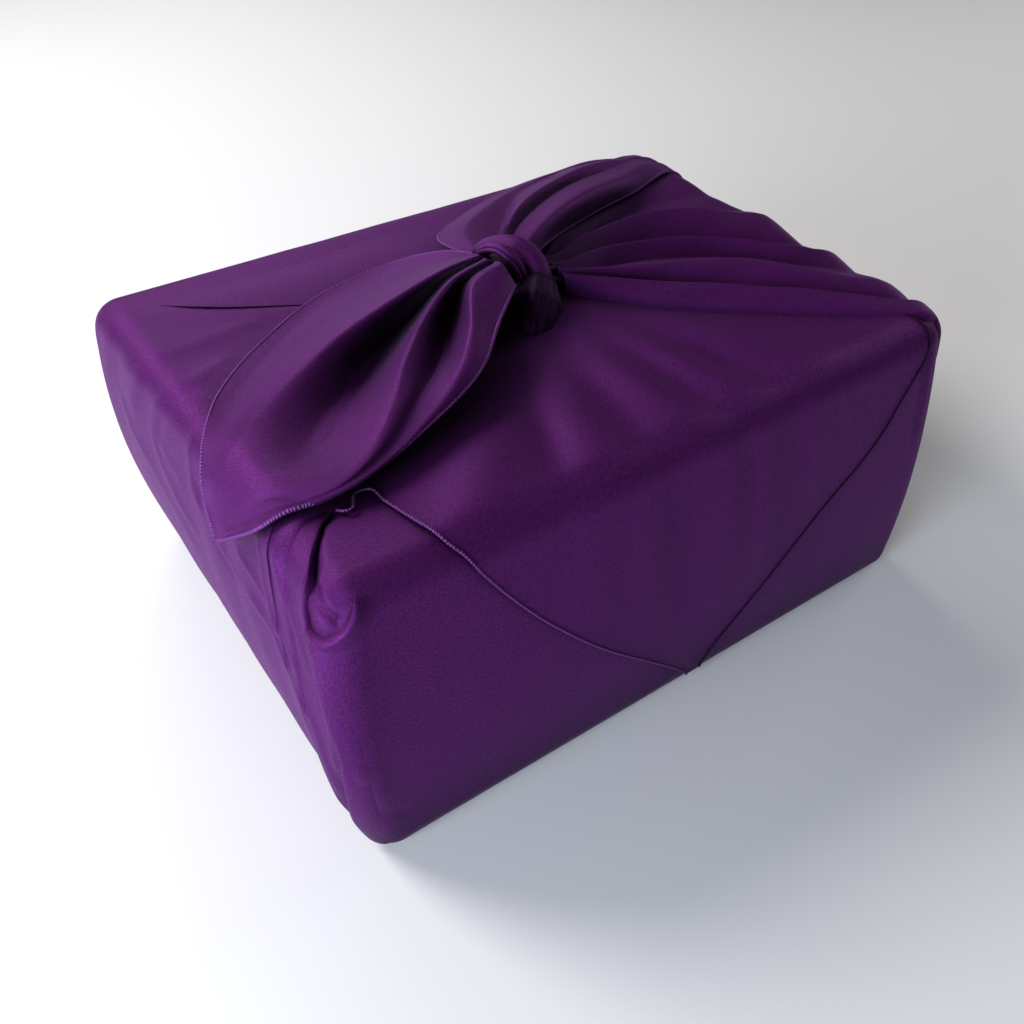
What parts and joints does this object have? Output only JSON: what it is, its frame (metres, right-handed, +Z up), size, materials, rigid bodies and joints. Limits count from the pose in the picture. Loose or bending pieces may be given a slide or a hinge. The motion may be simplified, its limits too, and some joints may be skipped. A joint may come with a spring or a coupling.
{
  "type": "furoshiki wrap on a box",
  "caption": "Low box wrapped in a square satin cloth: gathered pleats on top, a knot with two free ends, and a V-shaped hemmed flap down the front.",
  "frame": {"origin": "on the table under the middle of the bundle, at the flat underside", "axes": "+X along the long side, from the large knot end towards the pleated end; -Y towards the side with the V flap; +Z up"},
  "size_m": [0.2648, 0.2014, 0.1419],
  "materials": {
    "purple_satin": "polyester satin with a fine twill weave and a soft sheen",
    "plain_card": null
  },
  "bodies": {
    "root": {"furoshiki_cloth": "purple_satin", "wrapped_box": "plain_card"}
  },
  "joints": []
}
